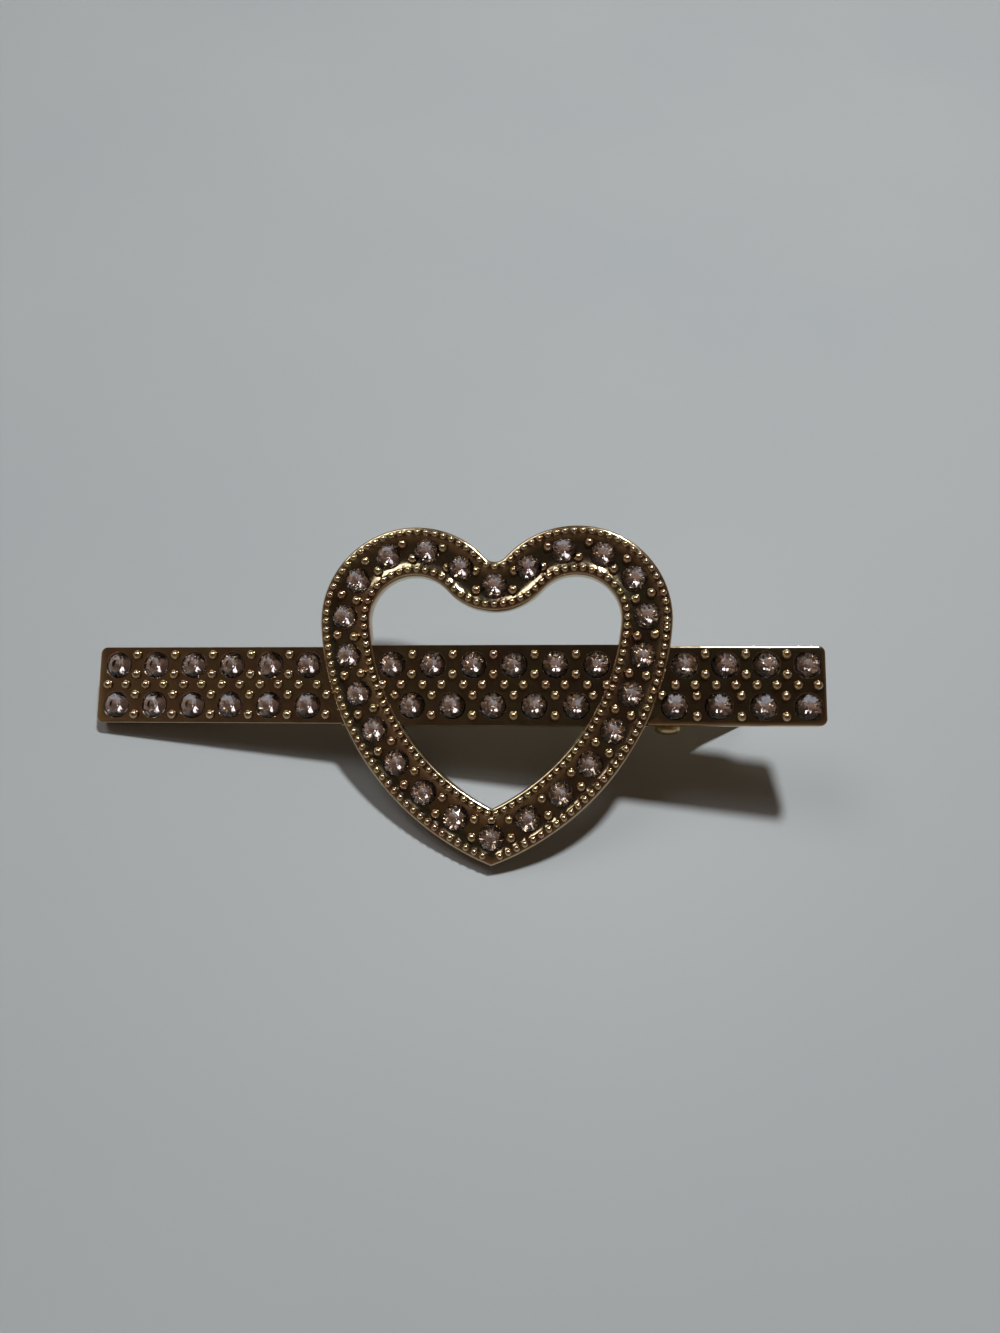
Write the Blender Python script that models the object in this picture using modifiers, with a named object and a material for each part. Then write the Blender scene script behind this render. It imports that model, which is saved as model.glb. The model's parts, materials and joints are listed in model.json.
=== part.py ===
"""Heart hair clip: a gold-plated casting set with crystals, on a sprung clip.

The casting is one piece, a flat bar crossed by an open heart. Its back carries two cast posts,
peened under the clip's upper blade. The lower blade turns on a pin below the bar, and a torsion
spring on that pin holds the two tips together.

Everything is modelled in the plate frame, an empty at the centre of the bar's back: +X along the
bar, +Y towards the heart's lobes and +Z out of the front. The empty is then tilted as the clip
comes to rest: on the tip of its lower blade, on the foot of its lever and on the heart's tip.
"""

import math

import bmesh
import bpy
from mathutils import Matrix, Vector

MM = 0.001

# Bar of the casting
BAR_LENGTH = 75.0 * MM
BAR_WIDTH = 8.0 * MM
BAR_WAIST_WIDTH = 8.35 * MM
BAR_THICKNESS = 1.5 * MM
BAR_CORNER_RADIUS = 0.7 * MM

# Heart of the casting
HEART_X = 4.4 * MM
HEART_WIDTH = 36.4 * MM
LOBE_HEIGHT = 6.9 * MM
LOBE_TURN = math.radians(138.4)
SHOULDER_TURN = math.radians(-4.8)
SIDE_RADIUS = 28.5 * MM
CLEFT_RADIUS = 1.45 * MM
RING_WIDTH = 5.2 * MM
HEART_THICKNESS = 1.7 * MM
HEART_BACK_RELIEF = 0.05 * MM

# Beaded rails along both edges of the heart
RAIL_INSET = 0.6 * MM
RAIL_BEAD_RADIUS = 0.37 * MM
RAIL_NECK_SHARE = 0.6
RAIL_BEAD_PITCH = 0.93 * MM
RAIL_SINK = 0.08 * MM

# Crystals and their seats
STONE_RADIUS = 1.25 * MM
STONE_CROWN = 0.42 * MM
STONE_PAVILION = 0.82 * MM
STONE_TABLE_SHARE = 0.56
STONE_FACETS = 16
GIRDLE_DEPTH = 0.12 * MM
SEAT_CLEARANCE = 0.09 * MM
SEAT_RIM_WIDTH = 0.12 * MM
SEAT_FACETS = 12

# Rows of crystals: each has as many as fit between the bar's end and the heart, or inside the heart
HEART_PITCH = 4.14 * MM
ROW_INSET = 1.9 * MM
LEFT_MARGIN = 2.05 * MM
LEFT_PITCH = 4.11 * MM
WAIST_PITCH = 4.2 * MM
RIGHT_MARGIN = 1.8 * MM
RIGHT_UPPER_PITCH = 4.0 * MM
RIGHT_LOWER_PITCH = 4.35 * MM

# Cast beads between the crystals
BEAD_RADIUS = 0.41 * MM
BEAD_SINK = 0.06 * MM
BEAD_ACROSS_RING = 0.85 * MM
BEAD_ACROSS_ROW = 1.03 * MM
BEAD_BESIDE_STONE = 0.97 * MM
BEAD_SIDES = 6
BEAD_RINGS = 4

# Cast posts that hold the clip
POST_RADIUS = 0.9 * MM
POST_HEAD_RADIUS = 1.3 * MM
POST_HEAD_HEIGHT = 0.4 * MM
POST_ROOT = 0.3 * MM
POST_CLEARANCE = 0.12 * MM
POST_FROM_PIVOT = 8.8 * MM
POST_SPACING = 18.0 * MM

# Upper blade, a flat strip fixed to the bar's back
SOLDER_GAP = 0.1 * MM
BLADE_THICKNESS = 0.6 * MM
BLADE_TIP_INSET = 1.5 * MM
UPPER_BLADE_WIDTH = 7.4 * MM
UPPER_TIP_RADIUS = 2.4 * MM
UPPER_TAIL_INSET = 3.2 * MM

# Hinge
PIVOT_FROM_RIGHT = 15.2 * MM
PIVOT_DROP = 3.3 * MM
PIN_RADIUS = 0.6 * MM
PIN_HEAD_RADIUS = 1.3 * MM
PIN_HEAD_HEIGHT = 0.9 * MM
PIN_HEAD_RIM = 0.3 * MM
PIN_HOLE_CLEARANCE = 0.1 * MM
SIDE_CLEARANCE = 0.1 * MM
EAR_THICKNESS = 0.6 * MM
EAR_RADIUS = 1.95 * MM
EAR_ROOT_HALF = 3.0 * MM

# Lower blade, from its tip to its lever; the drops are below the bar's back
JAW_GAP = 0.1 * MM
LOWER_TOE = 6.0 * MM
LOWER_BOW_FROM_PIVOT = 10.3 * MM
LOWER_BOW_DROP = 3.2 * MM
LOWER_WEB_HALF = 2.4 * MM
LOWER_WEB_CLEARANCE = 0.2 * MM
LEVER_END_FROM_RIGHT = 4.2 * MM
LEVER_END_DROP = 12.0 * MM
FOOT_LENGTH = 2.3 * MM
LOWER_TIP_WIDTH = 3.2 * MM
LOWER_TIP_RADIUS = 1.5 * MM
LOWER_TAPER = 14.0 * MM
LEVER_END_WIDTH = 5.2 * MM
LEVER_END_RADIUS = 1.6 * MM
BEND_RADIUS = 3.0 * MM
FOOT_BEND_RADIUS = 1.0 * MM

# Torsion spring
WIRE_RADIUS = 0.3 * MM
COIL_CLEARANCE = 0.25 * MM
COIL_GAP = 0.45 * MM
COIL_SIDE_CLEARANCE = 0.15 * MM
COIL_POINTS = 10
UPPER_LEG_REACH = 8.0 * MM
LOWER_LEG_SHARE = 0.72
LEG_CLEARANCE = 0.1 * MM

# One overrun for every cut and joint
OVERRUN = 0.5 * MM

LOBE_SHARE = -math.cos(LOBE_TURN)
LOBE_RADIUS = (HEART_WIDTH / 2 - LOBE_SHARE * CLEFT_RADIUS) / (1.0 + LOBE_SHARE)
SEAT_RADIUS = STONE_RADIUS + SEAT_CLEARANCE
SEAT_RIM_RADIUS = SEAT_RADIUS + SEAT_RIM_WIDTH
ROW_OFFSET = BAR_WIDTH / 2 - ROW_INSET
PIVOT_X = BAR_LENGTH / 2 - PIVOT_FROM_RIGHT
PIVOT_Z = -PIVOT_DROP
UPPER_BLADE_TOP = -SOLDER_GAP
UPPER_BLADE_BOTTOM = UPPER_BLADE_TOP - BLADE_THICKNESS
TIP_X = -BAR_LENGTH / 2 + BLADE_TIP_INSET
TIP_BOTTOM = UPPER_BLADE_BOTTOM - JAW_GAP - BLADE_THICKNESS
LEVER_END_X = BAR_LENGTH / 2 - LEVER_END_FROM_RIGHT
FOOT_SLOPE = (LEVER_END_DROP + TIP_BOTTOM) / (LEVER_END_X - TIP_X)
LOWER_BLADE_HALF = UPPER_BLADE_WIDTH / 2 - EAR_THICKNESS - SIDE_CLEARANCE
COIL_RADIUS = PIN_RADIUS + COIL_CLEARANCE + WIRE_RADIUS
COIL_PITCH = 2 * WIRE_RADIUS + COIL_GAP


def clear_scene():
    for thing in list(bpy.data.objects):
        bpy.data.objects.remove(thing)


def new_collection(name, inside=None):
    made = bpy.data.collections.new(name)
    (inside or bpy.context.scene.collection).children.link(made)
    return made


def new_material(name, color, roughness, metallic, alpha=1.0):
    made = bpy.data.materials.new(name)
    made.use_nodes = True
    shader = made.node_tree.nodes["Principled BSDF"]
    shader.inputs["Base Color"].default_value = (*color, 1.0)
    shader.inputs["Roughness"].default_value = roughness
    shader.inputs["Metallic"].default_value = metallic
    shader.inputs["Alpha"].default_value = alpha
    made.diffuse_color = (*color, alpha)
    return made


clear_scene()
PARTS = new_collection("heart_hair_clip")
CUTTERS = new_collection("cutters")
PLATE = bpy.data.objects.new("plate_frame", None)
PARTS.objects.link(PLATE)
CAST_GOLD = new_material("cast_gold", (0.55, 0.42, 0.2), 0.22, 1.0)
BLADE_GOLD = new_material("blade_gold", (0.6, 0.47, 0.24), 0.3, 1.0)
SPRING_STEEL = new_material("spring_steel", (0.5, 0.48, 0.42), 0.3, 1.0)
CRYSTAL = new_material("crystal", (0.86, 0.83, 0.88), 0.05, 0.0, 0.6)


def place(thing, collection, material=None, parent=PLATE):
    """Puts an object in its collection, under its parent, with its material."""
    for old in list(thing.users_collection):
        old.objects.unlink(thing)
    collection.objects.link(thing)
    thing.parent = parent
    if material:
        thing.data.materials.clear()
        thing.data.materials.append(material)
    if collection is CUTTERS:
        thing.hide_render = True
        thing.display_type = "WIRE"
    return thing


def mesh_object(name, mesh_builder, collection, material=None):
    """An object from a bmesh that mesh_builder has closed."""
    mesh = bpy.data.meshes.new(name)
    mesh_builder.to_mesh(mesh)
    mesh_builder.free()
    return place(bpy.data.objects.new(name, mesh), collection, material)


def as_mesh(thing, collection, material=None):
    """A curve made a mesh, with its caps welded, so that it can be cut and joined."""
    bpy.context.view_layer.update()
    evaluated = thing.evaluated_get(bpy.context.evaluated_depsgraph_get())
    mesh = bpy.data.meshes.new_from_object(evaluated)
    welded = bmesh.new()
    welded.from_mesh(mesh)
    bmesh.ops.remove_doubles(welded, verts=welded.verts, dist=MM / 1000)
    bmesh.ops.recalc_face_normals(welded, faces=welded.faces)
    welded.to_mesh(mesh)
    welded.free()
    name = thing.name
    matrix = thing.matrix_world.copy()
    bpy.data.objects.remove(thing)
    made = place(bpy.data.objects.new(name, mesh), collection, material)
    made.matrix_world = matrix
    return made


def add_spline(curve, points, cyclic, radii=None):
    spline = curve.splines.new("POLY")
    spline.points.add(len(points) - 1)
    for number, point in enumerate(points):
        spline.points[number].co = (*point, 1.0)
        spline.points[number].radius = radii[number] if radii else 1.0
    spline.use_cyclic_u = cyclic
    return spline


def flat_plate(name, outlines, low, high, collection, material=None):
    """Closed outlines in the plate's X and Y, filled and extruded from low to high."""
    curve = bpy.data.curves.new(name, "CURVE")
    curve.dimensions = "2D"
    curve.fill_mode = "BOTH"
    curve.extrude = (high - low) / 2
    for outline in outlines:
        add_spline(curve, [(x, y, 0.0) for x, y in outline], True)
    thing = place(bpy.data.objects.new(name, curve), collection)
    thing.location.z = (high + low) / 2
    return as_mesh(thing, collection, material)


def tube(name, points, radius, sides_step, collection, cyclic=False, radii=None, material=None):
    curve = bpy.data.curves.new(name, "CURVE")
    curve.dimensions = "3D"
    curve.bevel_depth = radius
    curve.bevel_resolution = sides_step
    curve.use_fill_caps = not cyclic
    add_spline(curve, points, cyclic, radii)
    return as_mesh(place(bpy.data.objects.new(name, curve), collection), collection, material)


def turned(name, profile, steps, collection, material=None):
    """A profile of radius and height, from top to bottom, turned about Z."""
    outline = bmesh.new()
    corners = [outline.verts.new((radius, 0.0, height)) for radius, height in profile]
    for first, second in zip(corners, corners[1:]):
        outline.edges.new((first, second))
    thing = mesh_object(name, outline, collection, material)
    screw = thing.modifiers.new("turn", "SCREW")
    screw.steps = steps
    screw.render_steps = steps
    screw.use_merge_vertices = True
    screw.merge_threshold = MM / 1000
    return thing


def boolean(thing, operand, operation):
    step = thing.modifiers.new(operand.name, "BOOLEAN")
    step.operation = operation
    step.object = operand
    step.solver = "EXACT"
    return step


def arc(center, radius, start, end, steps):
    """Points along an arc, both ends included, with angles in radians."""
    turns = [start + (end - start) * step / steps for step in range(steps + 1)]
    return [(center[0] + radius * math.cos(a), center[1] + radius * math.sin(a)) for a in turns]


def rounded_outline(corners, radii, steps=5):
    """A closed outline with each corner rounded by its own radius."""
    made = []
    for index, corner in enumerate(corners):
        after = corners[(index + 1) % len(corners)]
        made += rounded_corner(corners[index - 1], corner, after, radii[index], steps)
    return made


def rounded_corner(before, corner, after, radius, steps):
    """The points of a corner between two straight runs, rounded by an arc."""
    if radius == 0:
        return [corner]
    here = Vector(corner)
    back = (Vector(before) - here).normalized()
    onward = (Vector(after) - here).normalized()
    half = math.acos(max(-1.0, min(1.0, back.dot(onward)))) / 2
    center = here + (back + onward).normalized() * (radius / math.sin(half))
    first = here + back * (radius / math.tan(half)) - center
    last = here + onward * (radius / math.tan(half)) - center
    start = math.atan2(first.y, first.x)
    sweep = (math.atan2(last.y, last.x) - start + math.pi) % (2 * math.pi) - math.pi
    return arc(center, radius, start, start + sweep, steps)


def side_center():
    """The center of the long arc of a side, which takes over where the lobe's arc ends."""
    apart = LOBE_RADIUS - SIDE_RADIUS
    x = HEART_WIDTH / 2 - LOBE_RADIUS + apart * math.cos(SHOULDER_TURN)
    return x, LOBE_HEIGHT + apart * math.sin(SHOULDER_TURN)


def heart_arcs(inset):
    """Half of the heart's outline, inset from its edge: center, radius and both angles of each arc.

    It runs from the cleft, on the heart's own axis, over the lobe and down to the tip.
    """
    lobe_x = HEART_WIDTH / 2 - LOBE_RADIUS
    side = side_center()
    cleft_rise = (LOBE_RADIUS + CLEFT_RADIUS) * math.sin(LOBE_TURN)
    tip_turn = -math.acos(-side[0] / (SIDE_RADIUS - inset))
    return [
        ((0.0, LOBE_HEIGHT + cleft_rise), CLEFT_RADIUS + inset, -math.pi / 2, LOBE_TURN - math.pi),
        ((lobe_x, LOBE_HEIGHT), LOBE_RADIUS - inset, LOBE_TURN, SHOULDER_TURN),
        (side, SIDE_RADIUS - inset, SHOULDER_TURN, tip_turn),
    ]


def heart_outline(inset):
    """The heart's closed outline in the plate frame, inset from its edge."""
    half = []
    for (center, radius, start, end), steps in zip(heart_arcs(inset), (3, 14, 12)):
        half += arc(center, radius, start, end, steps)[:-1]
    tip = arc(*heart_arcs(inset)[-1], 1)[-1]
    right = half + [(0.0, tip[1])]
    left = [(-x, y) for x, y in reversed(right[1:-1])]
    return [(HEART_X + x, y) for x, y in right + left]


def half_length(inset):
    return sum(radius * abs(end - start) for _, radius, start, end in heart_arcs(inset))


def along_heart(inset, share):
    """The point at a share of the whole outline's length, round from the cleft and clockwise."""
    side = 1.0 if share <= 0.5 else -1.0
    left = min(share, 1.0 - share) * 2 * half_length(inset)
    for center, radius, start, end in heart_arcs(inset):
        length = radius * abs(end - start)
        if left <= length:
            break
        left -= length
    turn = start + (end - start) * min(left / length, 1.0)
    x = center[0] + radius * math.cos(turn)
    return HEART_X + side * x, center[1] + radius * math.sin(turn)


def heart_count():
    """How many crystals go round the heart, the same on both sides of its axis."""
    return 2 * round(half_length(RING_WIDTH / 2) / HEART_PITCH)


def heart_stones():
    """The places of the heart's crystals, clockwise from the cleft."""
    count = heart_count()
    return [along_heart(RING_WIDTH / 2, step / count) for step in range(count)]


def heart_half_width(inset, y):
    """Half of the heart's width, inset from its edge, at a height below its lobes."""
    x, side_y = side_center()
    return x + math.sqrt((SIDE_RADIUS - inset) ** 2 - (y - side_y) ** 2)


def arm_columns(end, first, pitch, y):
    """Columns from an end of the bar (-1 left, 1 right) inwards, as many as clear the heart's edge."""
    edge = HEART_X + end * heart_half_width(0.0, y)
    room = end * (first - edge) - SEAT_RIM_RADIUS
    return sorted(first - end * pitch * step for step in range(math.floor(room / pitch) + 1))


def waist_columns(y):
    """Columns inside the heart's opening, centered on it."""
    room = 2 * (heart_half_width(RING_WIDTH, y) - SEAT_RIM_RADIUS)
    gaps = math.floor(room / WAIST_PITCH)
    return [HEART_X + WAIST_PITCH * (step - gaps / 2) for step in range(gaps + 1)]


def bar_rows():
    """The bar's rows of crystals: name, X of each crystal and Y of the row."""
    left = -BAR_LENGTH / 2 + LEFT_MARGIN
    right = BAR_LENGTH / 2 - RIGHT_MARGIN
    left_columns = arm_columns(-1, left, LEFT_PITCH, ROW_OFFSET)
    return [
        ("left_upper", left_columns, ROW_OFFSET),
        ("left_lower", left_columns, -ROW_OFFSET),
        ("waist_upper", waist_columns(ROW_OFFSET), ROW_OFFSET),
        ("waist_lower", waist_columns(-ROW_OFFSET), -ROW_OFFSET),
        ("right_upper", arm_columns(1, right, RIGHT_UPPER_PITCH, ROW_OFFSET), ROW_OFFSET),
        ("right_lower", arm_columns(1, right, RIGHT_LOWER_PITCH, -ROW_OFFSET), -ROW_OFFSET),
    ]


def stone_places():
    """Each crystal's name and the point of the metal's surface that it is set in."""
    named = []
    for number, (x, y) in enumerate(heart_stones(), 1):
        named.append((f"crystal_heart_{number:02d}", (x, y, HEART_THICKNESS)))
    for row, columns, y in bar_rows():
        for number, x in enumerate(columns, 1):
            named.append((f"crystal_{row}_{number}", (x, y, BAR_THICKNESS)))
    return named


def bead_places():
    """The points of the metal's surface that carry a cast bead."""
    spots = []
    for step in range(heart_count()):
        share = (step + 0.5) / heart_count()
        for across in (-BEAD_ACROSS_RING, BEAD_ACROSS_RING):
            x, y = along_heart(RING_WIDTH / 2 + across, share)
            spots.append((x, y, HEART_THICKNESS))
    for row, columns, y in bar_rows():
        for first, second in zip(columns, columns[1:]):
            for across in (-BEAD_ACROSS_ROW, BEAD_ACROSS_ROW):
                spots.append(((first + second) / 2, y + across, BAR_THICKNESS))
        if row.endswith("upper"):
            for x in columns:
                spots.append((x - BEAD_BESIDE_STONE, 0.0, BAR_THICKNESS))
                spots.append((x + BEAD_BESIDE_STONE, 0.0, BAR_THICKNESS))
    return spots


def copies(name, source, spots, collection):
    """One mesh that holds a copy of the source's shape at each spot; the source is removed."""
    bpy.context.view_layer.update()
    shape = bpy.data.meshes.new_from_object(source.evaluated_get(bpy.context.evaluated_depsgraph_get()))
    bpy.data.objects.remove(source)
    made = bmesh.new()
    for spot in spots:
        shape.transform(Matrix.Translation(spot))
        made.from_mesh(shape)
        shape.transform(Matrix.Translation(-Vector(spot)))
    return mesh_object(name, made, collection)


def make_heart_ring():
    """The open heart; its back is cast a little higher than the bar's."""
    outlines = [heart_outline(0.0), heart_outline(RING_WIDTH)]
    return flat_plate("ornament_casting", outlines, HEART_BACK_RELIEF, HEART_THICKNESS, PARTS, CAST_GOLD)


def make_bar():
    """The flat bar, a little wider where it crosses the heart's opening."""
    end = BAR_LENGTH / 2
    half = BAR_WIDTH / 2
    waist = BAR_WAIST_WIDTH / 2
    left = HEART_X - HEART_WIDTH / 2 + RING_WIDTH
    right = HEART_X + HEART_WIDTH / 2 - RING_WIDTH
    lower = [(-end, -half), (left, -half), (left, -waist), (right, -waist), (right, -half), (end, -half)]
    upper = [(x, -y) for x, y in reversed(lower)]
    radii = [BAR_CORNER_RADIUS, 0, 0, 0, 0, BAR_CORNER_RADIUS]
    outline = rounded_outline(lower + upper, radii + radii)
    return flat_plate("bar_body", [outline], 0.0, BAR_THICKNESS, CUTTERS)


def make_rail(name, inset):
    """A row of beads along the heart: a tube whose radius swells at each bead."""
    beads = round(2 * half_length(inset) / RAIL_BEAD_PITCH)
    points = []
    radii = []
    for step in range(2 * beads):
        x, y = along_heart(inset, step / (2 * beads))
        points.append((x, y, HEART_THICKNESS - RAIL_SINK))
        radii.append(1.0 if step % 2 == 0 else RAIL_NECK_SHARE)
    return tube(name, points, RAIL_BEAD_RADIUS, 1, CUTTERS, True, radii)


def make_beads():
    ball = bmesh.new()
    bmesh.ops.create_uvsphere(ball, u_segments=BEAD_SIDES, v_segments=BEAD_RINGS, radius=BEAD_RADIUS)
    bmesh.ops.translate(ball, verts=ball.verts, vec=(0.0, 0.0, -BEAD_SINK))
    source = mesh_object("bead", ball, CUTTERS)
    return copies("cast_beads", source, bead_places(), CUTTERS)


def make_seats():
    """The countersunk seats: a bright-cut rim, then a cone that follows the crystal's own."""
    point = -GIRDLE_DEPTH - STONE_PAVILION * SEAT_RADIUS / STONE_RADIUS - SEAT_CLEARANCE
    profile = [
        (0.0, OVERRUN),
        (SEAT_RIM_RADIUS, OVERRUN),
        (SEAT_RIM_RADIUS, 0.0),
        (SEAT_RADIUS, -GIRDLE_DEPTH),
        (0.0, point),
    ]
    source = turned("seat", profile, SEAT_FACETS, CUTTERS)
    return copies("stone_seats", source, [spot for _, spot in stone_places()], CUTTERS)


def post_places():
    nearest = PIVOT_X - POST_FROM_PIVOT
    return [(nearest - POST_SPACING, 0.0), (nearest, 0.0)]


def make_posts():
    """Two cast posts behind the bar, peened over under the upper blade."""
    head_top = UPPER_BLADE_BOTTOM - SOLDER_GAP
    profile = [
        (0.0, POST_ROOT),
        (POST_RADIUS, POST_ROOT),
        (POST_RADIUS, head_top),
        (POST_HEAD_RADIUS, head_top),
        (POST_HEAD_RADIUS, head_top - POST_HEAD_HEIGHT / 2),
        (POST_RADIUS, head_top - POST_HEAD_HEIGHT),
        (0.0, head_top - POST_HEAD_HEIGHT),
    ]
    source = turned("post", profile, 16, CUTTERS)
    return copies("cast_posts", source, [(x, y, 0.0) for x, y in post_places()], CUTTERS)


def make_casting():
    """Everything that is cast in one: all its shapes are joined in one step, then the seats are cut."""
    casting = make_heart_ring()
    shapes = new_collection("cast_shapes", CUTTERS)
    inner_rail = make_rail("rail_inner", RING_WIDTH - RAIL_INSET)
    for shape in (make_bar(), make_posts(), make_rail("rail_outer", RAIL_INSET), inner_rail, make_beads()):
        CUTTERS.objects.unlink(shape)
        shapes.objects.link(shape)
    join = casting.modifiers.new("cast_shapes", "BOOLEAN")
    join.operation = "UNION"
    join.operand_type = "COLLECTION"
    join.collection = shapes
    join.solver = "EXACT"
    boolean(casting, make_seats(), "DIFFERENCE")
    return casting


def make_stone_mesh():
    """A round brilliant: a flat table, crown facets to the girdle and a pavilion to a point."""
    made = bmesh.new()
    table_sides = STONE_FACETS // 2
    for side in range(table_sides):
        turn = 2 * math.pi * side / table_sides
        reach = STONE_RADIUS * STONE_TABLE_SHARE
        made.verts.new((reach * math.cos(turn), reach * math.sin(turn), STONE_CROWN - GIRDLE_DEPTH))
    for side in range(STONE_FACETS):
        turn = 2 * math.pi * side / STONE_FACETS
        made.verts.new((STONE_RADIUS * math.cos(turn), STONE_RADIUS * math.sin(turn), -GIRDLE_DEPTH))
    made.verts.new((0.0, 0.0, -GIRDLE_DEPTH - STONE_PAVILION))
    bmesh.ops.convex_hull(made, input=made.verts)
    bmesh.ops.recalc_face_normals(made, faces=made.faces)
    mesh = bpy.data.meshes.new("crystal")
    made.to_mesh(mesh)
    made.free()
    mesh.materials.append(CRYSTAL)
    return mesh


def make_stones():
    mesh = make_stone_mesh()
    for number, (name, spot) in enumerate(stone_places()):
        stone = bpy.data.objects.new(name, mesh)
        PARTS.objects.link(stone)
        stone.parent = PLATE
        stone.location = spot
        stone.rotation_euler.z = number * math.pi / 7


def side_plate(name, outline, inner, outer, collection, material=None):
    """A closed outline in the plate's X and Z, standing between two values of Y."""
    plate = flat_plate(name, [outline], inner, outer, collection, material)
    plate.data.transform(Matrix.Translation((0.0, 0.0, plate.location.z)))
    plate.location.z = 0.0
    plate.data.transform(Matrix.Rotation(math.pi / 2, 4, "X"))
    return plate


def ear_outline(root_z, root_half):
    """An ear's side view: straight at its root and round about the pin."""
    root = [(PIVOT_X - root_half, root_z), (PIVOT_X + root_half, root_z)]
    if root_z > PIVOT_Z:
        return root + arc((PIVOT_X, PIVOT_Z), EAR_RADIUS, 0.0, -math.pi, 10)
    return list(reversed(root)) + arc((PIVOT_X, PIVOT_Z), EAR_RADIUS, math.pi, 0.0, 10)


def join_ears(blade, root_z, root_half, outer_y, name):
    """Adds an ear at each edge of a blade, then drills both for the pin."""
    outline = ear_outline(root_z, root_half)
    for side, label in ((1, "front"), (-1, "back")):
        low, high = sorted((side * outer_y, side * (outer_y - EAR_THICKNESS)))
        boolean(blade, side_plate(f"{name}_{label}", outline, low, high, CUTTERS), "UNION")
    radius = PIN_RADIUS + PIN_HOLE_CLEARANCE
    reach = outer_y + OVERRUN
    profile = [(0.0, reach), (radius, reach), (radius, -reach), (0.0, -reach)]
    drill = turned(f"{name}_drill", profile, 16, CUTTERS)
    drill.location = (PIVOT_X, 0.0, PIVOT_Z)
    drill.rotation_euler.x = math.pi / 2
    boolean(blade, drill, "DIFFERENCE")


def make_upper_blade():
    """The stamped strip behind the bar, with holes for the posts and ears for the pin."""
    half = UPPER_BLADE_WIDTH / 2
    tail_x = BAR_LENGTH / 2 - UPPER_TAIL_INSET
    corners = [(TIP_X, -half), (tail_x, -half), (tail_x, half), (TIP_X, half)]
    outline = rounded_outline(corners, [UPPER_TIP_RADIUS] * len(corners))
    blade = flat_plate("upper_blade", [outline], UPPER_BLADE_BOTTOM, UPPER_BLADE_TOP, PARTS, BLADE_GOLD)
    radius = POST_RADIUS + POST_CLEARANCE
    over = UPPER_BLADE_TOP + OVERRUN
    under = UPPER_BLADE_BOTTOM - OVERRUN
    punch = turned("post_punch", [(0.0, over), (radius, over), (radius, under), (0.0, under)], 16, CUTTERS)
    holes = copies("post_holes", punch, [(x, y, 0.0) for x, y in post_places()], CUTTERS)
    boolean(blade, holes, "DIFFERENCE")
    join_ears(blade, (UPPER_BLADE_TOP + UPPER_BLADE_BOTTOM) / 2, EAR_ROOT_HALF, half, "upper_ear")
    return blade


def foot_line(x):
    """The height, at x, of the line that the lower blade's tip and the lever's foot both lie on."""
    return TIP_BOTTOM - FOOT_SLOPE * (x - TIP_X)


def web_bottom():
    return PIVOT_Z - COIL_RADIUS - WIRE_RADIUS - LOWER_WEB_CLEARANCE - BLADE_THICKNESS


def lower_path():
    """The underside of the lower blade, side view, from its tip to the end of the lever."""
    foot_start = LEVER_END_X - FOOT_LENGTH
    corners = [
        (TIP_X, TIP_BOTTOM),
        (TIP_X + LOWER_TOE, TIP_BOTTOM),
        (PIVOT_X - LOWER_BOW_FROM_PIVOT, -LOWER_BOW_DROP),
        (PIVOT_X - LOWER_WEB_HALF, web_bottom()),
        (PIVOT_X + LOWER_WEB_HALF, web_bottom()),
        (foot_start, foot_line(foot_start)),
        (LEVER_END_X, foot_line(LEVER_END_X)),
    ]
    radii = [BEND_RADIUS] * (len(corners) - 3) + [FOOT_BEND_RADIUS]
    made = [corners[0]]
    for before, corner, after, radius in zip(corners, corners[1:], corners[2:], radii):
        made += rounded_corner(before, corner, after, radius, 4)
    return made + [corners[-1]]


def lower_plan():
    """The lower blade seen from above: narrow at the tip, full at the hinge, round at the lever."""
    tip = LOWER_TIP_WIDTH / 2
    end = LEVER_END_WIDTH / 2
    full = LOWER_BLADE_HALF
    lever_start = PIVOT_X + EAR_ROOT_HALF
    corners = [
        (TIP_X, -tip),
        (TIP_X + LOWER_TAPER, -full),
        (lever_start, -full),
        (LEVER_END_X, -end),
        (LEVER_END_X, end),
        (lever_start, full),
        (TIP_X + LOWER_TAPER, full),
        (TIP_X, tip),
    ]
    radii = [LOWER_TIP_RADIUS, 0, 0, LEVER_END_RADIUS, LEVER_END_RADIUS, 0, 0, LOWER_TIP_RADIUS]
    return rounded_outline(corners, radii)


def make_lower_blade():
    """The bent strip that closes on the upper blade, with its ears and its lever."""
    curve = bpy.data.curves.new("lower_blade", "CURVE")
    curve.dimensions = "3D"
    curve.extrude = LOWER_BLADE_HALF + OVERRUN
    add_spline(curve, [(x, z, 0.0) for x, z in lower_path()], False)
    blade = as_mesh(place(bpy.data.objects.new("lower_blade", curve), PARTS), PARTS, BLADE_GOLD)
    blade.data.transform(Matrix.Rotation(math.pi / 2, 4, "X"))
    move_origin(blade, (PIVOT_X, 0.0, PIVOT_Z))
    thickness = blade.modifiers.new("thickness", "SOLIDIFY")
    thickness.thickness = BLADE_THICKNESS
    thickness.offset = -1.0
    thickness.use_even_offset = True
    plan = flat_plate("lower_plan", [lower_plan()], -LEVER_END_DROP - OVERRUN, 0.0, CUTTERS)
    boolean(blade, plan, "INTERSECT")
    join_ears(blade, web_bottom() + BLADE_THICKNESS / 2, LOWER_WEB_HALF, LOWER_BLADE_HALF, "lower_ear")
    return blade


def move_origin(thing, origin):
    """Puts an object's origin at a point of the plate frame and leaves its shape in place."""
    thing.data.transform(Matrix.Translation(-Vector(origin)))
    thing.location = origin


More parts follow.
